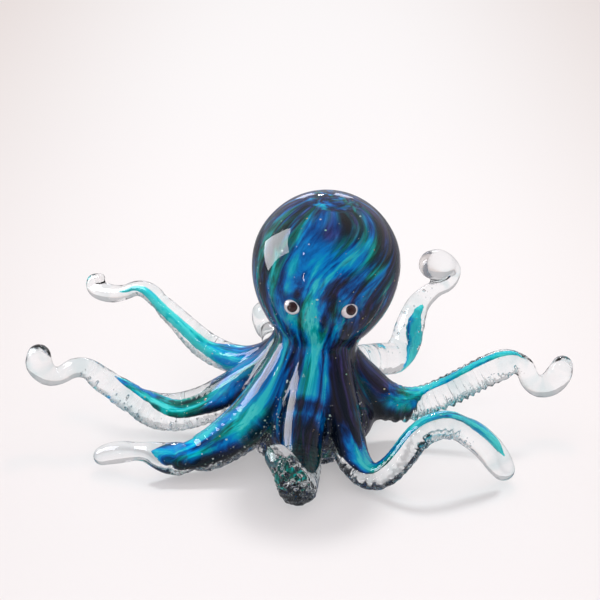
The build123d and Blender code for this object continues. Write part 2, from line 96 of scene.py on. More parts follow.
# Each station of an arm: out and aside as shares of its reach, up as a share of the root's height for the
# first few and of the arm's rise for the rest, and half width and half depth as shares of the usual ones
arm_station_shares = {
    "front": [
        (0.16, 0.01, 1, 0.68, 0.58), (0.19, 0.01, 0.77, 0.78, 0.78), (0.27, 0.02, 0.58, 0.9, 0.84),
        (0.4, 0.02, 0.42, 0.96, 0.92), (0.54, 0.02, 0.96, 0.96, 0.94), (0.68, 0.03, 0.64, 0.92, 0.92),
        (0.81, 0.03, 0.46, 0.88, 0.88), (0.92, 0.03, 0.42, 0.86, 0.86), (1, 0.02, 0.6, 0.8, 0.8),
        (1.01, -0.02, 0.86, 0.7, 0.7), (0.96, -0.07, 1.02, 0.62, 0.64), (0.89, -0.11, 1.04, 0.58, 0.58),
    ],
    "front_right": [
        (0.13, 0.02, 1, 0.68, 0.58), (0.155, 0.02, 0.77, 0.78, 0.78), (0.22, 0.02, 0.58, 0.9, 0.84),
        (0.32, 0.01, 0.42, 0.94, 0.9), (0.43, -0.01, 0.62, 0.9, 0.84), (0.54, -0.03, 0.38, 0.78, 0.74),
        (0.64, -0.02, 0.24, 0.68, 0.66), (0.71, 0.02, 0.24, 0.62, 0.64), (0.76, 0.075, 0.39, 0.62, 0.64),
        (0.795, 0.125, 0.6, 0.62, 0.64), (0.815, 0.18, 0.81, 0.62, 0.64), (0.84, 0.25, 0.97, 0.64, 0.66),
        (0.865, 0.35, 1.01, 0.64, 0.67), (0.89, 0.44, 0.91, 0.66, 0.68), (0.925, 0.52, 0.75, 0.66, 0.68),
        (0.96, 0.585, 0.55, 0.66, 0.68), (0.99, 0.63, 0.34, 0.62, 0.64), (1, 0.65, 0.24, 0.55, 0.56),
    ],
    "right": [
        (0.09, 0, 1, 0.66, 0.58), (0.107, 0, 0.74, 0.76, 0.7), (0.145, 0, 0.6, 0.88, 0.84),
        (0.22, 0, 0.44, 0.96, 0.98), (0.285, 0, 0.6, 0.96, 1.02), (0.38, 0, 0.49, 0.84, 0.86),
        (0.465, 0, 0.53, 0.74, 0.76), (0.55, 0, 0.64, 0.68, 0.78), (0.62, 0, 0.76, 0.62, 0.78),
        (0.685, 0, 0.87, 0.58, 0.8), (0.755, 0, 0.97, 0.54, 0.8), (0.81, 0, 1, 0.5, 0.7),
        (0.853, 0, 0.93, 0.47, 0.5), (0.873, 0, 0.76, 0.47, 0.5), (0.912, 0, 0.65, 0.52, 0.54),
        (0.96, 0, 0.69, 0.58, 0.62), (0.99, 0, 0.82, 0.6, 0.64), (1, 0, 0.92, 0.52, 0.54),
    ],
    "back_right": [
        (0.1, 0, 0.98, 0.66, 0.58), (0.12, 0, 0.74, 0.74, 0.68), (0.18, 0, 0.57, 0.84, 0.8),
        (0.27, 0, 0.47, 0.8, 0.82), (0.37, 0, 0.48, 0.76, 0.8), (0.47, 0, 0.44, 0.74, 0.8),
        (0.57, 0, 0.39, 0.76, 0.82), (0.64, 0, 0.46, 0.75, 0.79), (0.668, 0, 0.58, 0.72, 0.77),
        (0.706, 0, 0.72, 0.6, 0.64), (0.755, 0, 0.79, 0.51, 0.54), (0.845, 0, 0.835, 0.41, 0.44),
        (0.92, 0, 0.825, 0.33, 0.35), (0.965, 0, 0.86, 0.3, 0.32), (0.97, 0, 0.93, 0.36, 0.38),
        (0.935, 0, 0.985, 0.48, 0.5), (0.895, 0, 1.015, 0.66, 0.69), (0.855, 0, 1.035, 0.76, 0.8),
        (0.825, 0, 1.05, 0.72, 0.76),
    ],
    "back": [
        (0.1, 0, 0.98, 0.66, 0.58), (0.12, 0, 0.74, 0.74, 0.68), (0.18, 0, 0.57, 0.84, 0.8),
        (0.28, 0, 0.42, 0.86, 0.84), (0.41, 0, 0.64, 0.84, 0.82), (0.54, 0, 0.62, 0.78, 0.76),
        (0.66, 0, 0.74, 0.7, 0.68), (0.76, 0, 0.88, 0.62, 0.6), (0.85, 0, 0.9, 0.54, 0.54),
        (0.92, 0, 0.76, 0.48, 0.5), (0.99, 0, 0.68, 0.5, 0.52), (1.05, 0, 0.78, 0.56, 0.58),
        (1.06, 0, 0.98, 0.56, 0.56), (1.01, 0, 1.1, 0.48, 0.48),
    ],
    "back_left": [
        (0.1, 0, 0.98, 0.66, 0.58), (0.12, 0, 0.74, 0.73, 0.7), (0.17, 0, 0.6, 0.78, 0.76),
        (0.25, 0, 0.52, 0.76, 0.74), (0.33, 0, 0.61, 0.72, 0.72), (0.4, 0, 0.63, 0.7, 0.72),
        (0.48, 0, 0.69, 0.66, 0.7), (0.59, 0, 0.85, 0.54, 0.56), (0.66, 0, 0.95, 0.49, 0.51),
        (0.72, 0, 1.04, 0.44, 0.46), (0.78, 0, 1.05, 0.37, 0.39), (0.84, 0, 0.99, 0.37, 0.39),
        (0.9, 0, 0.95, 0.44, 0.46), (0.965, 0, 0.95, 0.46, 0.48), (1, 0, 0.97, 0.36, 0.37),
        (1, 0, 1.04, 0.28, 0.29), (0.96, 0, 1.07, 0.22, 0.23),
    ],
    "left": [
        (0.09, 0, 1, 0.62, 0.58), (0.112, 0, 0.75, 0.68, 0.7), (0.15, 0, 0.59, 0.76, 0.8),
        (0.22, 0, 0.47, 0.82, 0.9), (0.3, 0, 0.57, 0.88, 1), (0.385, 0, 0.45, 0.88, 0.94),
        (0.48, 0, 0.37, 0.88, 0.94), (0.56, 0, 0.38, 0.84, 0.9), (0.635, 0, 0.49, 0.72, 0.76),
        (0.7, 0, 0.62, 0.64, 0.68), (0.765, 0, 0.76, 0.57, 0.61), (0.815, 0, 0.88, 0.47, 0.5),
        (0.87, 0, 0.88, 0.46, 0.48), (0.92, 0, 0.79, 0.42, 0.42), (0.965, 0, 0.8, 0.52, 0.54),
        (0.995, 0, 0.92, 0.62, 0.66), (0.995, 0, 1.02, 0.55, 0.6),
    ],
    "front_left": [
        (0.115, 0.02, 1, 0.68, 0.58), (0.14, 0.02, 0.77, 0.78, 0.7), (0.19, 0.03, 0.59, 0.92, 0.86),
        (0.27, 0.04, 0.42, 1.06, 1), (0.365, 0.05, 1.66, 1.12, 1.1), (0.445, 0.05, 1.32, 1.08, 1.08),
        (0.53, 0.045, 1.02, 0.98, 0.98), (0.63, 0.03, 0.8, 0.88, 0.9), (0.71, 0.01, 0.76, 0.8, 0.82),
        (0.775, -0.01, 0.88, 0.7, 0.72), (0.83, -0.055, 1.03, 0.54, 0.54), (0.87, -0.105, 1, 0.44, 0.44),
        (0.92, -0.15, 0.92, 0.52, 0.52), (0.965, -0.195, 0.8, 0.56, 0.52), (1, -0.225, 0.66, 0.5, 0.46),
    ],
}


# How the fused forms are made, in millimetres: the size of a voxel, how far creases are filled in at the root
# and away from it, how often the form is smoothed, and how high the colour stays over the base
voxel = 0.62
skin_web = 2.2
skin_web_away = 0.35
skin_smoothing = 6
colour_web = 1.2
colour_web_away = 0.2
colour_smoothing = 8
colour_foot = 0.3
web_reach = 24
web_fade = 16
doubles_within = 0.001


def deselect():
    bpy.ops.object.select_all(action="DESELECT")


def active():
    return bpy.context.view_layer.objects.active


def go_to(mode):
    bpy.ops.object.mode_set(mode=mode)


def take_up(piece):
    """The piece alone is selected and active."""
    deselect()
    piece.select_set(True)
    bpy.context.view_layer.objects.active = piece


def copy_together(nodes, name):
    """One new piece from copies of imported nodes, joined and with their doubles merged."""
    deselect()
    for node in nodes:
        frame["nodes"][node].select_set(True)
    bpy.context.view_layer.objects.active = frame["nodes"][nodes[0]]
    bpy.ops.object.duplicate()
    bpy.ops.object.join()
    bpy.ops.object.parent_clear(type="CLEAR_KEEP_TRANSFORM")
    piece = active()
    for key in list(piece.keys()):
        del piece[key]
    piece.name = name
    piece.data.name = name
    piece.data.materials.clear()
    go_to("EDIT")
    bpy.ops.mesh.select_all(action="SELECT")
    bpy.ops.mesh.remove_doubles(threshold=doubles_within * MM)
    go_to("OBJECT")
    return piece


def apply(piece, kind, **values):
    """Put one modifier on a piece and apply it."""
    take_up(piece)
    modifier = piece.modifiers.new(kind.lower(), kind)
    for key, value in values.items():
        setattr(modifier, key, value)
    bpy.ops.object.modifier_apply(modifier=modifier.name)


def gathered(items, kind, columns):
    """One kind of value from each item, as rows of so many columns."""
    values = np.empty(len(items) * columns)
    items.foreach_get(kind, values)
    return values.reshape(-1, columns)


def places(piece):
    return gathered(piece.data.vertices, "co", 3)


def outwards(piece):
    return gathered(piece.data.vertices, "normal", 3)


def store(piece, name, values):
    piece.data.attributes.new(name, "FLOAT", "POINT").data.foreach_set("value", values)


def put(piece, spots):
    piece.data.vertices.foreach_set("co", spots.ravel())
    piece.data.update()


def eased(values, start, end):
    """0 below start, 1 above end, and a smooth rise between them."""
    share = np.clip((values - start) / (end - start), 0, 1)
    return share * share * (3 - 2 * share)


def around_mantle(spots):
    """Each spot's distance from the leaning axis, turn about it in degrees, and height, in millimetres."""
    spots = spots / MM
    flat = spots[:, 0] * cos(mantle_lean) - spots[:, 2] * sin(mantle_lean)
    high = spots[:, 0] * sin(mantle_lean) + spots[:, 2] * cos(mantle_lean)
    return np.hypot(flat, spots[:, 1]), np.degrees(np.arctan2(spots[:, 1], flat)), high


def swell(piece, by, by_away):
    """Move a surface outwards by one depth at the root and by another away from it."""
    spots = places(piece)
    out = around_mantle(spots)[0]
    share = eased(out, web_reach, web_reach + web_fade)[:, None]
    put(piece, spots + outwards(piece) * (by * (1 - share) + by_away * share) * MM)


def keep_largest(piece):
    """Drop the loose shells inside a piece, such as the walls of the hollows that another piece fills."""
    take_up(piece)
    bpy.ops.mesh.separate(type="LOOSE")
    shells = sorted(bpy.context.selected_objects, key=lambda shell: len(shell.data.vertices))
    largest = shells.pop()
    name = piece.name
    for shell in shells:
        bpy.data.objects.remove(shell)
    largest.name = name
    return largest


def fuse(piece, web, web_away, smoothing):
    """Fuse overlapping forms into one smooth skin, with webs in the creases."""
    apply(piece, "REMESH", mode="VOXEL", voxel_size=voxel * MM)
    swell(piece, web, web_away)
    apply(piece, "REMESH", mode="VOXEL", voxel_size=voxel * MM)
    piece = keep_largest(piece)
    swell(piece, -web, -web_away)
    apply(piece, "SMOOTH", factor=0.5, iterations=smoothing)
    return piece


def filled_in(rows):
    """The rows with more rows between them, on smooth curves that pass through them all."""
    full = []
    for before, start, end, after in zip(rows[:1] + rows, rows, rows[1:], rows[2:] + rows[-1:]):
        for step in range(rows_between):
            way = step / rows_between
            weights = (
                (-way + 2 * way**2 - way**3) / 2,
                (2 - 5 * way**2 + 3 * way**3) / 2,
                (way + 4 * way**2 - 3 * way**3) / 2,
                (way**3 - way**2) / 2,
            )
            row = []
            for four in zip(before, start, end, after):
                row.append(sum(weight * value for weight, value in zip(weights, four)))
            full.append(tuple(row))
    return full + rows[-1:]


Spot = namedtuple("Spot", "place along across up half_width half_depth distance")


def arm_guide(name):
    """Spots along the middle of an arm, each with the three ways there and the half sizes of the section."""
    turn = radians(arm_turn[name])
    out = Vector((cos(turn), sin(turn), 0))
    side = Vector((-sin(turn), cos(turn), 0))
    stations = []
    for number, (out_share, side_share, up_share, width, depth) in enumerate(arm_station_shares[name]):
        height = up_share * (arm_root_height if number < root_stations else arm_rise[name])
        lean_share = max(0, 1 - number / root_stations)
        middle = (out * out_share + side * side_share) * arm_reach[name] + Vector((0, 0, height))
        middle.x += sin(mantle_lean) * height * lean_share
        stations.append((*middle, width * arm_half_width, depth * arm_half_depth))
    stations = filled_in(stations)
    spine = [Vector(station[:3]) for station in stations]
    across = side
    distance = 0
    guide = []
    neighbours = zip(spine[:1] + spine, spine, spine[1:] + spine[-1:], stations)
    for before, point, after, station in neighbours:
        along = (after - before).normalized()
        across = (across - along * across.dot(along)).normalized()
        distance += (point - before).length
        guide.append(Spot(point, along, across, along.cross(across), station[3], station[4], distance))
    return guide


guides = {name: arm_guide(name) for name in arm_names}


def guide_tree():
    """A search tree over the guides of all the arms, and a table with a row for each spot in it."""
    rows = [(number, spot) for number, name in enumerate(arm_names) for spot in guides[name]]
    tree = KDTree(len(rows))
    table = [(number, *spot.place, *spot.along, *spot.across, *spot.up, *spot[4:]) for number, spot in rows]
    for index, (number, spot) in enumerate(rows):
        tree.insert(spot.place, index)
    tree.balance()
    return tree, np.array(table)


nearest_guide, guide_table = guide_tree()


def along_arms(spots):
    """Each spot's nearest arm, distance along it, and shares of its half width across and half depth up."""
    spots = spots / MM
    rows = guide_table[[nearest_guide.find(spot)[1] for spot in spots]]
    arm, half_width, half_depth, distance = rows[:, 0], rows[:, 13], rows[:, 14], rows[:, 15]
    place, way_along, way_across, way_up = (rows[:, start : start + 3] for start in (1, 4, 7, 10))
    away = spots - place
    along = distance + (away * way_along).sum(1)
    across = (away * way_across).sum(1) / half_width
    up = (away * way_up).sum(1) / half_depth
    return arm.astype(int), along, across, up


def set_smooth(piece):
    take_up(piece)
    bpy.ops.object.shade_smooth()


# Hand work on the undersides of the arms, between two distances along the arm, in millimetres: how deep the
# crimps are and their pitch, and how deep the hammering is
crimps = {
    "front": (0.2, 2.4, 52, 90),
    "right": (0.52, 2.9, 46, 96),
    "left": (0.1, 2.6, 44, 100),
    "back_left": (0.1, 2.6, 44, 84),
    "front_right": (0.1, 3.1, 52, 118),
    "front_left": (0.12, 3.3, 40, 80),
}
hammering = {
    "front": (0.3, 44, 90),
    "front_right": (0.13, 34, 118),
    "right": (0.16, 40, 110),
    "left": (0.11, 40, 112),
    "front_left": (0.22, 34, 84),
    "back_left": (0.11, 40, 90),
    "back_right": (0.1, 40, 90),
    "back": (0.16, 40, 100),
}
# The underside starts between two shares of the half depth, and the work fades in and out over these lengths
underside = (-0.15, 0.45)
crimp_fade = 8
hammer_fade_in = 10
hammer_fade_out = 6
# Crimps wander a little from their even pitch, and this share of their depth goes on over the top of the arm
crimp_wander = 0.9
crimp_wander_rate = 0.31
crimp_over_top = 0.4
# Dimples lie about this far apart, and these two shape each one. Fainter work than the last isn't done
dimple_pitch = 2.3
dimple_width = 1.25
dimple_roundness = 1.5
faintest_dimple = 0.01

# How frosted the undersides are with tiny bubbles, from 0 to 1
frosting = {"left": 1, "back_left": 1, "front_left": 0.5, "front_right": 0.6, "right": 0.15, "front": 0.2}
usual_frosting = 0.3

# Where an arm was pinched before its end was turned: the distance along it, half the length, and the depth
pinches = {
    "front_left": [(74, 3.2, 1.7)],
    "right": [(103, 3, 0.7)],
    "left": [(86, 2.2, 0.45), (97, 2, 0.3)],
    "back_left": [(83, 2.4, 0.5)],
    "front_right": [(112, 3, 0.5)],
}


def pick_dimples(seed, low, high):
    """Scattered spots in a box, in millimetres, for the middles of hammered dimples."""
    draw = np.random.default_rng(seed)
    volume = np.prod((high - low) / dimple_pitch)
    return draw.uniform(low, high, size=(int(volume), 3))


def work_undersides(skin):
    """Crimp and hammer the undersides of the arms, as hot glass that was pressed with tools is."""
    spots = places(skin)
    arm, along, _, up = along_arms(spots)
    under = eased(-up, *underside)
    depth = np.zeros(len(spots))
    frost = np.zeros(len(spots))
    for number, name in enumerate(arm_names):
        mine = arm == number
        if name in crimps:
            deep, pitch, start, end = crimps[name]
            span = eased(along, start, start + crimp_fade) * eased(-along, -end, -end + crimp_fade)
            wave = np.cos(2 * pi * along / pitch + crimp_wander * np.sin(along * crimp_wander_rate))
            round_arm = crimp_over_top + (1 - crimp_over_top) * under
            depth += np.where(mine, span * deep * wave * round_arm, 0)
        deep, start, end = hammering[name]
        span = eased(along, start, start + hammer_fade_in) * eased(-along, -end, -end + hammer_fade_out)
        struck = mine & (span * under > faintest_dimple)
        depth[struck] += (span * deep * under)[struck] * dimples(spots[struck], number)
        frost += np.where(mine, span * under * frosting.get(name, usual_frosting), 0)
    for name, squeezes in pinches.items():
        for middle, half, deep in squeezes:
            drawn_in = deep * np.exp(-(((along - middle) / half) ** 2))
            depth -= np.where(arm == arm_names.index(name), drawn_in, 0)
    spots += outwards(skin) * depth[:, None] * MM
    spots[:, 2] = np.maximum(spots[:, 2], 0)
    put(skin, spots)
    store(skin, "frost", frost)


def dimples(spots, seed):
    """Rounded cells between -1 and 1 on each spot, like the dimples that a hammer leaves."""
    spots = spots / MM
    middles = pick_dimples(seed, spots.min(0), spots.max(0))
    tree = KDTree(len(middles))
    for index, middle in enumerate(middles):
        tree.insert(middle, index)
    tree.balance()
    reach = np.array([tree.find(spot)[2] for spot in spots]) / dimple_pitch
    return 1 - 2 * np.clip(reach * dimple_width, 0, 1) ** dimple_roundness


def fused_skin():
    """The clear glass of the whole figure as one skin."""
    nodes = ["mantle_core", "mantle_colour", "mantle_casing"]
    nodes += [f"{kind}_{name}" for name in arm_names for kind in ("arm", "ribbon")]
    skin = fuse(copy_together(nodes, "clear_mantle"), skin_web, skin_web_away, skin_smoothing)
    work_undersides(skin)
    return skin


def fused_colour():
    """The coloured glass of the whole figure as one form, inside the skin."""
    nodes = ["mantle_core", "mantle_colour"] + [f"ribbon_{name}" for name in arm_names]
    colour = fuse(copy_together(nodes, "coloured_mantle"), colour_web, colour_web_away, colour_smoothing)
    spots = places(colour)
    spots[:, 2] = np.maximum(spots[:, 2], colour_foot * MM)
    put(colour, spots)
    for name, (start, width) in thinned.items():
        thin_out(colour, name, start, width)
    return colour


# Where ribbons of colour are drawn thinner: from which distance along the arm, and which share of it is left.
# It comes in over one length, and each slice of another length is drawn together about its middle
thinned = {"back_right": (42, 0.55), "back_left": (44, 0.62), "right": (56, 0.6), "front_right": (62, 0.66)}
thinning_fade = 14
thinning_slice = 1.5


def thin_out(colour, name, start, width):
    """Draw a ribbon of colour together about its own middle, beyond a distance along its arm."""
    spots = places(colour)
    arm, along, _, _ = along_arms(spots)
    mine = (arm == arm_names.index(name)) & (along > start)
    slices = np.round(along[mine] / thinning_slice).astype(int)
    counts = np.maximum(np.bincount(slices), 1)
    middles = np.stack([np.bincount(slices, spots[mine, axis]) / counts for axis in range(3)], axis=1)[slices]
    share = (1 - width) * eased(along[mine], start, start + thinning_fade)[:, None]
    spots[mine] += (middles - spots[mine]) * share
    put(colour, spots)


def note_arms(piece):
    """Store on each vertex the number of the nearest arm, and the distance along it."""
    arm, along, _, _ = along_arms(places(piece))
    store(piece, "arm", arm.astype(float))
    store(piece, "along", along)


def noted(piece, name):
    return gathered(piece.data.attributes[name].data, "value", 1)[:, 0]


def forget_arms(piece):
    for name in ("arm", "along"):
        piece.data.attributes.remove(piece.data.attributes[name])


# How near to a cut a vertex may lie and still count as on it, and how far behind it the arm is looked at, in
# millimetres. A vertex between two arms has a mixed number, and is neither's
cut_slack = 0.05
on_cut = -1.01 * cut_slack
behind_cut = 6
number_slack = 0.01


def beyond(piece, name, distance):
    """Which vertices of a piece are an arm's and lie beyond a distance along it."""
    arm = abs(noted(piece, "arm") - arm_names.index(name)) < number_slack
    return arm & (noted(piece, "along") > distance)


def select_vertices(mesh, mine):
    mesh.polygons.foreach_set("select", np.zeros(len(mesh.polygons), bool))
    mesh.edges.foreach_set("select", np.zeros(len(mesh.edges), bool))
    mesh.vertices.foreach_set("select", mine)


def part_off(whole, name, kind, seam):
    """Cut one arm off a fused piece, square to the arm, and close both ends, where the glass runs on."""
    spot = next(spot for spot in guides[name] if hypot(spot.place.x, spot.place.y) > parting[name])
    point, along, start = spot.place * MM, spot.along, spot.distance - behind_cut
    take_up(whole)
    select_vertices(whole.data, beyond(whole, name, start))
    go_to("EDIT")
    bpy.ops.mesh.select_mode(type="VERT")
    bpy.ops.mesh.bisect(plane_co=point, plane_no=along, threshold=cut_slack * MM)
    go_to("OBJECT")
    ahead = (places(whole) - np.array(point)) @ np.array(along)
    select_vertices(whole.data, beyond(whole, name, start) & (ahead > on_cut * MM))
    go_to("EDIT")
    bpy.ops.mesh.separate(type="SELECTED")
    go_to("OBJECT")
    arm_piece = next(piece for piece in bpy.context.selected_objects if piece is not whole)
    arm_piece.name = f"{kind}_{name}"
    arm_piece.data.name = arm_piece.name
    for piece in (whole, arm_piece):
        close_cut(piece, seam)
    return arm_piece


def close_cut(piece, seam):
    """Fill the open rim of a cut with faces of the seam's material."""
    take_up(piece)
    before = len(piece.data.polygons)
    go_to("EDIT")
    bpy.ops.mesh.select_all(action="DESELECT")
    rims = {"use_wire": False, "use_multi_face": False, "use_non_contiguous": False, "use_verts": False}
    bpy.ops.mesh.select_non_manifold(**rims)
    bpy.ops.mesh.edge_face_add()
    go_to("OBJECT")
    for face in list(piece.data.polygons)[before:]:
        face.material_index = seam
        face.use_smooth = False


# Tones of the coloured glass on the mantle, in daubs: turn, height, half turn, half height, light, warmth and
# green. Light is how far towards azure, warmth how far towards violet and smoke
mantle_base = (-0.36, 0.16, 0.14)
mantle_daubs = [
    (-98, 87, 20, 9, 1.2, -0.3, -0.3), (-99, 68, 9, 14, 1.2, -0.3, 0.1), (-96, 42, 12, 24, 1.6, -0.5, 0.5),
    (-77, 38, 6, 24, 1.5, -0.5, -0.4), (-116, 44, 5, 22, 1.3, -0.3, 0.4), (-112, 50, 2, 20, -0.5, 0, 0),
    (-121, 63, 9, 13, 1.25, -0.3, 0), (-128, 52, 3, 20, -0.6, 0, 0), (-64, 46, 4, 20, -0.4, 0.2, 0),
    (-119, 83, 6, 11, 0.55, 0, 0.8), (-107, 64, 4, 12, 0.5, 0, 0.8), (-138, 68, 7, 17, 0.95, 0, 0.1),
    (-124, 79, 5, 9, 0.75, 0.1, 0.2), (-140, 46, 9, 18, 1.45, -0.4, -0.1), (-156, 36, 9, 14, 0.9, 0, 0.3),
    (-164, 74, 9, 13, 0.6, 0.2, 0.2), (-172, 34, 12, 12, 0.55, 0.2, 0.1), (-72, 88, 13, 6, 1.05, -0.1, -0.2),
    (-52, 92, 14, 4, 0.8, 0.1, 0.3), (-48, 82, 22, 4, 0.9, 0.1, 0.2), (-60, 74, 16, 4, 0.8, 0.2, 0),
    (-30, 74, 14, 6, 0.6, 0.3, 0.1), (-60, 100, 60, 3, 0.75, 0.5, 0.3), (-150, 92, 20, 6, 0.6, 0, 0.6),
    (-120, 98, 22, 4, 0.7, 0.1, 0.4), (-160, 82, 6, 12, 0.5, 0, 0.8), (-95, 95, 12, 3, -0.3, 0.7, 0),
    (-40, 62, 28, 8, -0.2, 0.6, 0), (-8, 76, 20, 22, -0.45, 0.7, 0), (-40, 42, 26, 16, -1, 0.7, 0.1),
    (20, 45, 30, 20, -0.3, 0.3, 0), (60, 80, 30, 12, 0.7, 0, 0.2), (110, 70, 24, 20, 0.9, 0, 0.2),
    (150, 85, 18, 12, 0.6, 0.2, 0.1), (120, 40, 20, 16, 0.6, 0.1, 0.1),
]

# Tones along each arm: distance along it, light, warmth and green
arm_tones = {
    "front": [
        (20, 1.5, -0.7, 0), (32, 1.4, -0.7, 0), (36, -0.9, 0.3, 0.1), (41, 0.6, -0.3, 0),
        (48, -0.7, 0.2, 0), (58, -0.3, 0, 1),
    ],
    "front_right": [
        (24, -0.6, 0.3, 0), (49, -0.5, 0.3, 0), (58, 0.9, -0.4, -0.3), (68, 1.2, -0.5, 0),
        (92, 1.4, -0.5, 0.2), (130, 1.5, -0.5, 0.2),
    ],
    "right": [
        (20, -1.2, 0.7, 0), (38, -1.1, 0.7, 0), (47, 0.1, 0, 0), (54, 0.7, 0, 0.9), (64, 1.4, -0.5, 0.2),
        (110, 1.7, -0.5, 0.4),
    ],
    "back_right": [
        (20, -0.2, 0.2, 0), (50, 1.5, -0.5, 0.1), (70, 1.9, -0.5, 0.2), (110, 2, -0.5, 0.2),
    ],
    "back": [
        (20, 0.1, 0.1, 0.1), (50, 0.7, 0, 0.3), (90, 0.9, 0, 0.3),
    ],
    "back_left": [
        (20, 0.4, 0, 0), (46, 0.9, -0.2, 0), (56, 1.6, -0.5, 0.2), (84, 2.1, -0.5, 0.4),
        (120, 2.2, -0.5, 0.6),
    ],
    "left": [
        (20, 0.2, 0.1, 0), (48, 0.9, -0.2, 0), (58, 0.6, 0, 0.9), (72, 0.9, 0, 0.9), (86, 1.2, 0, 0.3),
        (120, 1, 0.2, 0),
    ],
    "front_left": [
        (20, 1.2, -0.4, 0), (44, 1.05, -0.4, 0.2), (70, 1.1, -0.4, 0.3), (90, 1.3, -0.4, 0.1),
    ],
}

# Where painted shade darkens the undersides: between two shares of the half depth, from upper to lower
painted_shade_from = {
    "front_left": (0.62, 0.05),
    "front_right": (0.85, 0.35),
    "back_right": (-3, -4),
    "back_left": (-3, -4),
}
painted_shade_usual = (0.25, -0.35)
# How much darker the painted shade makes them, and where along the arm that comes in and goes out, in
# millimetres
painted_shade_depth = 1.9
painted_shade_in = (20, 42)
painted_shade_out = (76, 92)

# How the glass flows. The mantle's way gives over to the arm's way below the neck and far out, in millimetres
low_arm_flow = (17, 30)
arm_flow = (30, 36)
neck = (36, 46)
# An arm's way turns by this much across its half width, in degrees, and starts this much further down
arm_flow_turn = 24
arm_flow_start = 28
# The flow's radius round the head, how it closes in towards the pole, and its stretch down the head
flow_radius = 20
pole_radius = 11
pole_least = 0.05
pole_power = 0.7
flow_stretch = 0.2
# How the flow is twisted on the head: by how much, at which heights, and between which turns, in degrees
swirl_turn = 70
swirl_heights = (68, 100)
swirl_in = (-150, 0)
swirl_out = (20, 180)


def write_flow(piece):
    """Store on each vertex its place in the flow of the glass, and the tone of the glass there, with painted
    shade on the undersides of the arms.
    """
    spots = places(piece)
    out, turn, high = around_mantle(spots)
    arm, along, across, up = along_arms(spots)
    arm_way = np.array([arm_turn[name] for name in arm_names])[arm] + across * arm_flow_turn
    below_neck = eased(-high, -neck[1], -neck[0])
    share = np.maximum(eased(out, *low_arm_flow) * below_neck, eased(out, *arm_flow))
    round_axis = flow_radius * np.clip(out / pole_radius, pole_least, 1) ** pole_power
    gap = (arm_way - turn + 180) % 360 - 180
    swirl = swirl_turn * eased(high, *swirl_heights) * eased(turn, *swirl_in) * (1 - eased(turn, *swirl_out))
    way = np.radians(turn + gap * share - swirl)
    down = (head_height + head_radius - high) * (1 - share) + (along + arm_flow_start) * share
    flow = np.stack([round_axis * np.cos(way), round_axis * np.sin(way), down * flow_stretch], axis=1)
    tone = np.tile(np.array(mantle_base), (len(spots), 1))
    for daub_turn, daub_high, half_turn, half_high, *strength in mantle_daubs:
        aside = ((turn - daub_turn + 180) % 360 - 180) / half_turn
        dab = np.exp(-(aside**2) - ((high - daub_high) / half_high) ** 2)
        tone += dab[:, None] * np.array(strength)
    arm_tone = np.zeros_like(tone)
    for number, name in enumerate(arm_names):
        rows = np.array(arm_tones[name])
        mine = arm == number
        for column in range(3):
            arm_tone[mine, column] = np.interp(along[mine], rows[:, 0], rows[:, column + 1])
        # Painted shade: the arm's tone darkens towards its underside
        high_side, low_side = painted_shade_from.get(name, painted_shade_usual)
        where = eased(-along, -painted_shade_out[1], -painted_shade_out[0]) * eased(along, *painted_shade_in)
        arm_tone[mine, 0] -= painted_shade_depth * (eased(-up, -high_side, -low_side) * where)[mine]
    tone = tone * (1 - share[:, None]) + arm_tone * share[:, None]
    for name, values in (("flow", flow), ("tone", tone)):
        layer = piece.data.attributes.new(name, "FLOAT_VECTOR", "POINT")
        layer.data.foreach_set("vector", values.ravel())


# Materials


def new_material(name, values=()):
    """A new material, its node tree, and its shader with these inputs."""
    material = bpy.data.materials.new(name)
    material.use_nodes = True
    shader = material.node_tree.nodes["Principled BSDF"]
    for key, value in dict(values).items():
        shader.inputs[key].default_value = value
    return material, material.node_tree, shader


def node(tree, kind, values=(), wires=()):
    """One shader node with its settings and inputs, and its wires from other nodes' outputs."""
    made = tree.nodes.new(f"ShaderNode{kind}")
    for key, value in dict(values).items():
        if isinstance(key, str) and hasattr(made, key):
            setattr(made, key, value)
        else:
            made.inputs[key].default_value = value
    for key, source in dict(wires).items():
        tree.links.new(source, made.inputs[key])
    return made


def ramped(tree, value, stops):
    """A colour from a ramp with these stops."""
    ramp = node(tree, "ValToRGB", {}, {"Fac": value})
    elements = ramp.color_ramp.elements
    while len(elements) < len(stops):
        elements.new(0.5)
    for element, (position, shade) in zip(elements, stops):
        element.position = position
        element.color = (*shade, 1)
    return ramp.outputs["Color"]


def reckoned(tree, operation, first, second):
    """What an operation makes of two values."""
    return node(tree, "Math", {"operation": operation}, {0: first, 1: second}).outputs["Value"]


def show(tree, shader):
    tree.links.new(shader, tree.nodes["Material Output"].inputs["Surface"])


def lamps_pass(tree, glass, tint=(1, 1, 1, 1)):
    """Show a glass that lets the light of lamps straight through, with a tint."""
    through = node(tree, "BsdfTransparent", {"Color": tint}).outputs["BSDF"]
    shadow = node(tree, "LightPath").outputs["Is Shadow Ray"]
    mix = node(tree, "MixShader", {}, {0: shadow, 1: glass, 2: through})
    show(tree, mix.outputs["Shader"])


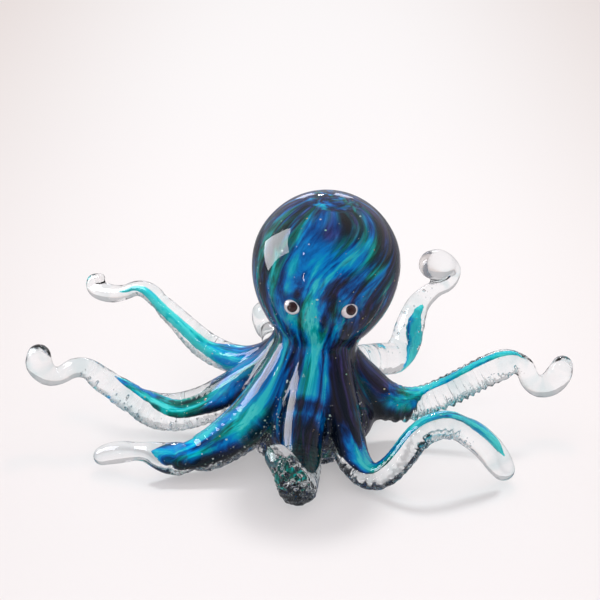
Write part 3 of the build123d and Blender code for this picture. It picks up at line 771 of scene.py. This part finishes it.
def clear_glass(name, waviness, ripple, tint):
    """Clear glass with drawn waves and fine ripples, frosted where it was worked, and tinted in places."""
    values = {"Roughness": 0.01, "IOR": 1.47, "Transmission Weight": 1}
    material, tree, glass = new_material(name, values)
    place = node(tree, "TexCoord").outputs["Object"]
    waves = node(tree, "TexNoise", {"Scale": 70, "Detail": 2}, {"Vector": place}).outputs["Fac"]
    bump = {"Strength": waviness, "Distance": 0.0006}
    bump = node(tree, "Bump", bump, {"Height": waves}).outputs["Normal"]
    ripples = {"Scale": 420, "Detail": 1, "Distortion": 0.8}
    ripples = node(tree, "TexNoise", ripples, {"Vector": place}).outputs["Fac"]
    fine_bump = {"Strength": ripple, "Distance": 0.0003}
    bump = node(tree, "Bump", fine_bump, {"Height": ripples, "Normal": bump}).outputs["Normal"]
    tree.links.new(bump, glass.inputs["Normal"])
    frost = node(tree, "Attribute", {"attribute_name": "frost"}).outputs["Fac"]
    grains = node(tree, "TexNoise", {"Scale": 600, "Detail": 3}, {"Vector": place}).outputs["Fac"]
    grains = node(tree, "MapRange", {"From Min": 0.42, "From Max": 0.62}, {"Value": grains}).outputs["Result"]
    frosted = reckoned(tree, "MULTIPLY", frost, grains)
    rough = node(tree, "MapRange", {"To Min": 0.01, "To Max": 0.5}, {"Value": frosted}).outputs["Result"]
    tree.links.new(rough, glass.inputs["Roughness"])
    clouds = node(tree, "TexNoise", {"Scale": 80, "Detail": 3}, {"Vector": place}).outputs["Fac"]
    shade = ramped(tree, clouds, [(0.52, (0.985, 0.995, 1)), (0.68, tint)])
    tree.links.new(shade, glass.inputs["Base Color"])
    lamps_pass(tree, glass.outputs["BSDF"], (0.9, 0.95, 0.96, 1))
    return material


def fused_seam():
    """The unseen face where two pieces of the same glass run into each other."""
    material, tree, shader = new_material("fused_seam")
    tree.nodes.remove(shader)
    show(tree, node(tree, "BsdfTransparent").outputs["BSDF"])
    return material


def mixed(tree, share, first, second):
    """A colour between two others."""
    mix = node(tree, "Mix", {"data_type": "RGBA"}, {"Factor": share, "A": first, "B": second})
    return mix.outputs["Result"]


def streaked_glass():
    """Blue and green glass in streaks that follow the flow down the head and out along the arms."""
    values = {"Roughness": 0.4, "Specular IOR Level": 0.05}
    material, tree, glass = new_material("streaked_glass", values)
    flow = node(tree, "Attribute", {"attribute_name": "flow"}).outputs["Vector"]
    tone = node(tree, "Attribute", {"attribute_name": "tone"}).outputs["Vector"]
    light, warm, green = node(tree, "SeparateXYZ", {}, {0: tone}).outputs

    def moved(vector, scale, shift):
        values = {"operation": "MULTIPLY_ADD", 1: scale, 2: shift}
        return node(tree, "VectorMath", values, {0: vector}).outputs["Vector"]

    def noise(scale, detail, vector, roughness=0.5):
        values = {"Scale": scale, "Detail": detail, "Roughness": roughness}
        return node(tree, "TexNoise", values, {"Vector": vector}).outputs

    def scaled(value, by, plus):
        """The value times one number plus another."""
        made = node(tree, "Math", {"operation": "MULTIPLY_ADD", 1: by, 2: plus}, {0: value})
        return made.outputs["Value"]

    def total(first, *others):
        for other in others:
            first = reckoned(tree, "ADD", first, other)
        return first

    def held(value, most):
        return node(tree, "Clamp", {"Max": most}, {"Value": value}).outputs["Result"]

    warp = noise(0.1, 2, flow)["Color"]
    bend = {"operation": "MULTIPLY_ADD", 1: (9, 9, 6)}
    bent = node(tree, "VectorMath", bend, {0: warp, 2: flow}).outputs["Vector"]
    streaks = noise(0.21, 5, bent, 0.62)["Fac"]
    wisps = noise(0.6, 4, bent, 0.65)["Fac"]
    hues = noise(0.26, 3, moved(bent, (1, 1, 1), (31, 7, 13)))["Fac"]
    smoke = noise(0.3, 4, moved(bent, (1, 1, 1.3), (5, 41, 3)))["Fac"]

    level = total(scaled(light, 0.36, 0.4), scaled(streaks, 2.5, -1.25), scaled(wisps, 1.1, -0.55))
    blue_stops = [
        (0, (0.003, 0.007, 0.018)), (0.2, (0.003, 0.014, 0.052)), (0.36, (0.002, 0.04, 0.18)),
        (0.52, (0, 0.11, 0.4)), (0.68, (0, 0.25, 0.68)), (0.84, (0, 0.42, 0.68)),
        (1, (0.04, 0.66, 0.7)),
    ]
    green_stops = [
        (0, (0.003, 0.01, 0.012)), (0.2, (0.002, 0.03, 0.032)), (0.38, (0, 0.085, 0.07)),
        (0.56, (0, 0.22, 0.17)), (0.74, (0, 0.42, 0.4)), (0.9, (0.01, 0.6, 0.6)),
        (1, (0.1, 0.76, 0.73)),
    ]
    smoke_stops = [
        (0.36, (0.016, 0.012, 0.014)), (0.5, (0.024, 0.018, 0.044)), (0.6, (0.05, 0.035, 0.15)),
        (0.7, (0.1, 0.06, 0.24)),
    ]
    green_share = held(total(scaled(hues, 7, -3.6), scaled(green, 1.6, -0.1)), 1)
    shade = mixed(tree, green_share, ramped(tree, level, blue_stops), ramped(tree, level, green_stops))
    smoke_share = held(total(scaled(smoke, 6, -3.3), scaled(warm, 1.5, 0)), 0.9)
    shade = mixed(tree, smoke_share, shade, ramped(tree, wisps, smoke_stops))
    tree.links.new(shade, glass.inputs["Base Color"])
    return material


def bead_glass(name, shade, dark, roughness):
    """Opaque bead glass with a faint mottle."""
    values = {"Roughness": roughness, "Coat Weight": 1, "Coat Roughness": 0.03}
    material, tree, glass = new_material(name, values)
    place = node(tree, "TexCoord").outputs["Object"]
    mottle = node(tree, "TexNoise", {"Scale": 900, "Detail": 3}, {"Vector": place}).outputs["Fac"]
    tree.links.new(ramped(tree, mottle, [(0.3, dark), (0.6, shade)]), glass.inputs["Base Color"])
    return material


def bubble_air():
    """The air in a bubble, seen from the glass around it."""
    material, tree, shader = new_material("bubble_air")
    tree.nodes.remove(shader)
    lamps_pass(tree, node(tree, "BsdfGlass", {"Roughness": 0, "IOR": 0.68}).outputs["BSDF"])
    return material


def fleck_metal():
    """Bright flecks of copper, gold and silver-green."""
    material, tree, metal = new_material("fleck_metal", {"Metallic": 0.4, "Roughness": 0.4})
    tint = node(tree, "Attribute", {"attribute_name": "tint"}).outputs["Fac"]
    copper, gold, silver, green = (0.75, 0.36, 0.16), (0.9, 0.68, 0.3), (0.9, 0.95, 0.92), (0.45, 0.85, 0.6)
    shade = ramped(tree, tint, [(0, copper), (0.4, gold), (0.7, silver), (1, green)])
    tree.links.new(shade, metal.inputs["Base Color"])
    return material


# Bubbles in the clear undersides: how many, between two distances along the arm, and between two shares of
# its half depth
bubble_beds = {
    "front_left": (420, 34, 80, -0.92, -0.45),
    "front_right": (220, 40, 118, -0.88, -0.45),
    "front": (40, 48, 84, -0.9, -0.3),
    "left": (240, 44, 112, -0.86, -0.35),
    "right": (90, 50, 110, -0.85, -0.3),
    "back_left": (220, 48, 96, -0.88, -0.35),
    "back_right": (40, 40, 100, 0.1, 0.7),
    "back": (60, 50, 96, -0.8, -0.4),
}
# Their smallest and largest radius, how few are large, and the clear glass that each one keeps round it
bubble_sizes = (0.16, 0.66)
bubble_rarity = 3
bubble_clearance = 0.2
# They lie within this share of the half width. A place without room takes so much off the count
bubble_spread = 0.86
bubble_missed = 0.2


def between(ends, share):
    return ends[0] + (ends[1] - ends[0]) * share


def copies(name, solid, spots, sizes, ways=None):
    """One piece made of many copies of a small solid, each at its own place and size, facing its own way."""
    shape = np.array([vertex.co for vertex in solid.data.vertices])
    faces = [tuple(face.vertices) for face in solid.data.polygons]
    bpy.data.objects.remove(solid)
    vertices = []
    corners = []
    for number, (spot, size) in enumerate(zip(spots, sizes)):
        turned = shape
        if ways is not None:
            turned = shape @ np.array(Vector(ways[number]).to_track_quat("Z", "Y").to_matrix()).T
        corners += [tuple(index + len(vertices) for index in face) for face in faces]
        vertices += (turned * size * MM + spot).tolist()
    mesh = bpy.data.meshes.new(name)
    mesh.from_pydata(vertices, [], corners)
    piece = bpy.data.objects.new(name, mesh)
    bpy.context.scene.collection.objects.link(piece)
    return piece


def room_at(place):
    """How deep in the clear glass a place is, in millimetres: its distance from the skin or the colour."""
    from_skin, skin_way, _, _ = skin_walls.find_nearest(place)
    from_colour, colour_way, _, _ = colour_walls.find_nearest(place)
    below = (from_skin - place).dot(skin_way)
    above = (place - from_colour).dot(colour_way)
    if below < 0 or above < 0:
        return -1
    return min((from_skin - place).length, (place - from_colour).length) / MM


def bubbles_in(name, seed):
    """Air bubbles caught in the clear underside of an arm."""
    count, start, end, low, high = bubble_beds[name]
    draw = random.Random(seed)
    spots = []
    sizes = []
    guide = guides[name]
    while len(spots) < count:
        along = draw.uniform(start, end)
        spot = min(guide, key=lambda spot: abs(spot.distance - along))
        up = draw.uniform(low, high)
        across = draw.uniform(-1, 1) * bubble_spread * (1 - up * up) ** 0.5
        place = spot.place + spot.along * (along - spot.distance)
        place = place + spot.across * (across * spot.half_width) + spot.up * (up * spot.half_depth)
        size = between(bubble_sizes, draw.random() ** bubble_rarity)
        if room_at(place * MM) > size + bubble_clearance:
            spots.append(np.array(place) * MM)
            sizes.append(size)
        else:
            count -= bubble_missed
    bpy.ops.mesh.primitive_uv_sphere_add(segments=8, ring_count=5, radius=1)
    piece = copies(f"bubbles_{name}", active(), spots, sizes)
    set_smooth(piece)
    return piece


# Flecks of metal leaf: how many, their smallest and largest radius, how far over the colour they lie,
# how much clear glass each one needs, and how far they tilt
fleck_count = 1100
fleck_sizes = (0.12, 0.48)
fleck_lift = 0.35
fleck_room = 0.3
fleck_tilt = 0.35
# Most lie low on these arms, between two distances along them. Of the rest, one in a few is laid
leafy_arms = ("front_left", "front_right", "front")
leafy_stretch = (26, 86)
leafy_below = 0.15
other_flecks = 3
# How few are large, low on those arms and elsewhere, and the tints of the low ones
low_rarity = 1.2
other_rarity = 3
low_tints = (0.6, 0.9)
# A flake's crumpling, width and thickness
crumpling = (0.7, 1.3)
flake_width = 0.75
flake_thickness = 0.14


def flecks(seed):
    """Small crumpled flakes of leaf lying on the colour, with a tint for each."""
    draw = random.Random(seed)
    faces = colour.data.polygons
    bedded = [arm_names.index(name) for name in leafy_arms]
    spots = []
    sizes = []
    ways = []
    tints = []
    while len(spots) < fleck_count:
        face = faces[draw.randrange(len(faces))]
        place = face.center + face.normal * fleck_lift * MM
        arm, along, _, up = (value[0] for value in along_arms(np.array([place])))
        low = arm in bedded and leafy_stretch[0] < along < leafy_stretch[1] and up < leafy_below
        if not low and len(spots) % other_flecks:
            continue
        if room_at(place) > fleck_room:
            tints.append(draw.uniform(*low_tints) if low else draw.random())
            spots.append(np.array(place))
            sizes.append(between(fleck_sizes, draw.random() ** (low_rarity if low else other_rarity)))
            tilt = Vector((draw.gauss(0, 1), draw.gauss(0, 1), draw.gauss(0, 1)))
            ways.append(face.normal + tilt * fleck_tilt)
    bpy.ops.mesh.primitive_ico_sphere_add(subdivisions=1, radius=1)
    flake = active()
    for vertex in flake.data.vertices:
        vertex.co *= draw.uniform(*crumpling)
        vertex.co.y *= flake_width
        vertex.co.z *= flake_thickness
    corners = len(flake.data.vertices)
    piece = copies("leaf_flecks", flake, spots, sizes, ways)
    store(piece, "tint", np.repeat(tints, corners))
    return piece


skin = fused_skin()
colour = fused_colour()
set_smooth(skin)
set_smooth(colour)
write_flow(colour)

clear = clear_glass("clear_glass", 0.1, 0, (0.95, 0.98, 0.99))
drawn = clear_glass("drawn_clear_glass", 0.6, 0.16, (0.66, 0.8, 0.82))
seam = fused_seam()
streaked = streaked_glass()
# Each has one material for its surface and one for the ends of its cuts, in this order
surface, cut_end = 0, 1
for piece, glasses in ((skin, (clear, seam)), (colour, (streaked, streaked))):
    for glass in glasses:
        piece.data.materials.append(glass)

graph = bpy.context.evaluated_depsgraph_get()
skin_walls = BVHTree.FromObject(skin, graph)
colour_walls = BVHTree.FromObject(colour, graph)

finished = []
air = bubble_air()
for number, name in enumerate(arm_names):
    bubbles = bubbles_in(name, number)
    bubbles.data.materials.append(air)
    finished.append((bubbles, "clear_glass"))
leaf = flecks(3)
leaf.data.materials.append(fleck_metal())
finished.append((leaf, "turquoise_glass"))

note_arms(skin)
note_arms(colour)
for name in arm_names:
    clear_arm = part_off(skin, name, "clear_arm", cut_end)
    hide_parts(f"arm_{name}")
    colour_arm = part_off(colour, name, "colour_ribbon", cut_end)
    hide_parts(f"ribbon_{name}")
    clear_arm.data.materials[surface] = drawn
    finished += [(clear_arm, "clear_glass"), (colour_arm, "blue_green_glass")]
    forget_arms(clear_arm)
    forget_arms(colour_arm)
forget_arms(skin)
forget_arms(colour)
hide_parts("mantle_casing")
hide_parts("mantle_core", "mantle_colour")
finished += [(skin, "clear_glass"), (colour, "blue_green_glass")]

for piece, glass in finished:
    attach(piece, "root")

white_bead = bead_glass("white_bead_glass", (0.8, 0.74, 0.75), (0.68, 0.6, 0.62), 0.18)
dark_bead = bead_glass("dark_bead_glass", (0.035, 0.008, 0.008), (0.01, 0.003, 0.004), 0.12)
for side in ("left", "right"):
    frame["nodes"][f"eye_white_{side}"].data.materials[0] = white_bead
    frame["nodes"][f"pupil_{side}"].data.materials[0] = dark_bead


# Floor, lamps and camera


def floor():
    """A pale floor, with painted shade that makes it a little darker and warmer towards the sides. The camera
    and the glass see a share of its own even colour, more of it further back, and the rest is lit. What only
    mirrors it sees it dim."""
    bpy.ops.mesh.primitive_plane_add(size=6, location=(0, 0, 0))
    ground = active()
    ground.name = "floor"
    values = {"Roughness": 0.8, "Specular IOR Level": 0.1}
    material, tree, paint = new_material("pale_floor", values)
    place = node(tree, "TexCoord").outputs["Object"]
    # Painted shade: both floor colours darken and warm away from the middle, towards the sides
    away = {"operation": "MULTIPLY", 1: (1, 0.08, 0)}
    away = node(tree, "VectorMath", away, {0: place}).outputs["Vector"]
    away = node(tree, "VectorMath", {"operation": "LENGTH"}, {0: away}).outputs["Value"]
    fade = {"interpolation_type": "SMOOTHSTEP", "From Min": 0.05, "From Max": 0.3}
    away = node(tree, "MapRange", fade, {"Value": away}).outputs["Result"]
    lit_shade = ramped(tree, away, [(0, (0.74, 0.7, 0.695)), (1, (0.65, 0.595, 0.58))])
    own_shade = ramped(tree, away, [(0, (0.985, 0.955, 0.96)), (1, (0.8, 0.72, 0.7))])
    tree.links.new(lit_shade, paint.inputs["Base Color"])
    even = node(tree, "Emission", {}, {"Color": own_shade}).outputs["Emission"]
    path = node(tree, "LightPath").outputs
    seen = reckoned(tree, "MAXIMUM", path["Is Camera Ray"], path["Is Transmission Ray"])
    depth = node(tree, "SeparateXYZ", {}, {0: place}).outputs["Y"]
    even_share = {"From Min": 0, "From Max": 0.5, "To Min": 0.28, "To Max": 0.9}
    even_share = node(tree, "MapRange", even_share, {"Value": depth}).outputs["Result"]
    share = reckoned(tree, "MULTIPLY", seen, even_share)
    mix = node(tree, "MixShader", {}, {0: share, 1: paint.outputs["BSDF"], 2: even}).outputs["Shader"]
    dim = node(tree, "Emission", {"Color": (0.3, 0.3, 0.32, 1)}).outputs["Emission"]
    wires = {0: path["Is Glossy Ray"], 1: path["Is Transmission Ray"]}
    only_mirrored = node(tree, "Math", {"operation": "SUBTRACT", "use_clamp": True}, wires).outputs["Value"]
    mirrored = node(tree, "MixShader", {}, {0: only_mirrored, 1: mix, 2: dim})
    show(tree, mirrored.outputs["Shader"])
    ground.data.materials.append(material)


def lamp(name, spot, aim, size, power, roll=0, shade=(1, 1, 1)):
    """A soft rectangular lamp at a spot, aimed at another, and out of the camera's sight."""
    data = bpy.data.lights.new(name, "AREA")
    data.shape = "RECTANGLE"
    data.size, data.size_y = size
    data.energy = power
    data.color = shade
    made = bpy.data.objects.new(name, data)
    bpy.context.scene.collection.objects.link(made)
    made.location = spot
    facing = (Vector(aim) - Vector(spot)).to_track_quat("-Z", "Y") @ Quaternion((0, 0, 1), radians(roll))
    made.rotation_euler = facing.to_euler()
    made.visible_camera = False
    made.visible_transmission = False
    return made


def highlight(name, spot, aim, size, strength, roll=0, shade=(1, 1, 1)):
    """A window or lamp that only shows as a highlight on the glass."""
    made = lamp(name, spot, aim, size, strength * pi * size[0] * size[1], roll, shade)
    made.visible_diffuse = False


floor()
lamp("over_lamp", (0, -0.1, 1.2), (0, 0, 0), (1.4, 1.4), 4).visible_glossy = False
lamp("key_lamp", (0.08, 0.46, 0.82), (0, 0, 0), (0.14, 0.14), 5.2).visible_glossy = False
lamp("front_lamp", (0.1, -1.15, 0.75), (0, 0, 0.05), (1.1, 0.9), 11).visible_glossy = False
day = (0.93, 0.95, 1)
sky = (0.86, 0.86, 1)
highlight("left_window", (-0.233, 0.024, 0.157), (0.731, 0.013, -0.108), (0.155, 0.215), 8, -35, day)
highlight("back_window_left", (-0.094, 0.575, 0.24), (0, 0, 0.1), (0.085, 0.12), 3, shade=sky)
highlight("back_window_right", (0.109, 0.56, 0.28), (0, 0, 0.1), (0.1, 0.12), 3, shade=sky)
highlight("back_lamp", (-0.023, 0.549, 0.341), (0, 0, 0.1), (0.03, 0.03), 50)
highlight("catch_light", (-0.45, -0.515, 0.52), (0, 0, 0.08), (0.04, 0.04), 30)
highlight("front_strip", (-0.253, -0.398, 0.06), (0, -0.03, 0.08), (0.014, 0.11), 10)


def studio_world():
    """Even pale light all round, darker low down in front, where the room is behind the camera."""
    world = bpy.data.worlds.new("studio")
    bpy.context.scene.world = world
    world.use_nodes = True
    tree = world.node_tree
    way = node(tree, "TexCoord").outputs["Generated"]
    parts = node(tree, "SeparateXYZ", {}, {0: way}).outputs
    fade = {"From Min": -0.9, "From Max": 0.7}
    fade = node(tree, "MapRange", fade, {"Value": parts["Y"]}).outputs["Result"]
    stops = [(0, (0.1, 0.1, 0.12)), (0.45, (0.28, 0.28, 0.31)), (0.8, (0.58, 0.56, 0.57))]
    tree.links.new(ramped(tree, fade, stops), tree.nodes["Background"].inputs["Color"])
    tree.nodes["Background"].inputs["Strength"].default_value = 1


studio_world()

camera_data = bpy.data.cameras.new("camera")
camera_data.sensor_width = 36
camera_data.lens = 117.45
camera = bpy.data.objects.new("camera", camera_data)
bpy.context.scene.collection.objects.link(camera)
aim = Vector((-0.002, 0, 0.061))
rise = radians(22)
distance = 0.75
camera.location = aim + Vector((0, -cos(rise), sin(rise))) * distance
camera.rotation_euler = (aim - camera.location).to_track_quat("-Z", "Y").to_euler()
bpy.context.scene.camera = camera
bpy.context.scene.view_settings.view_transform = "Standard"
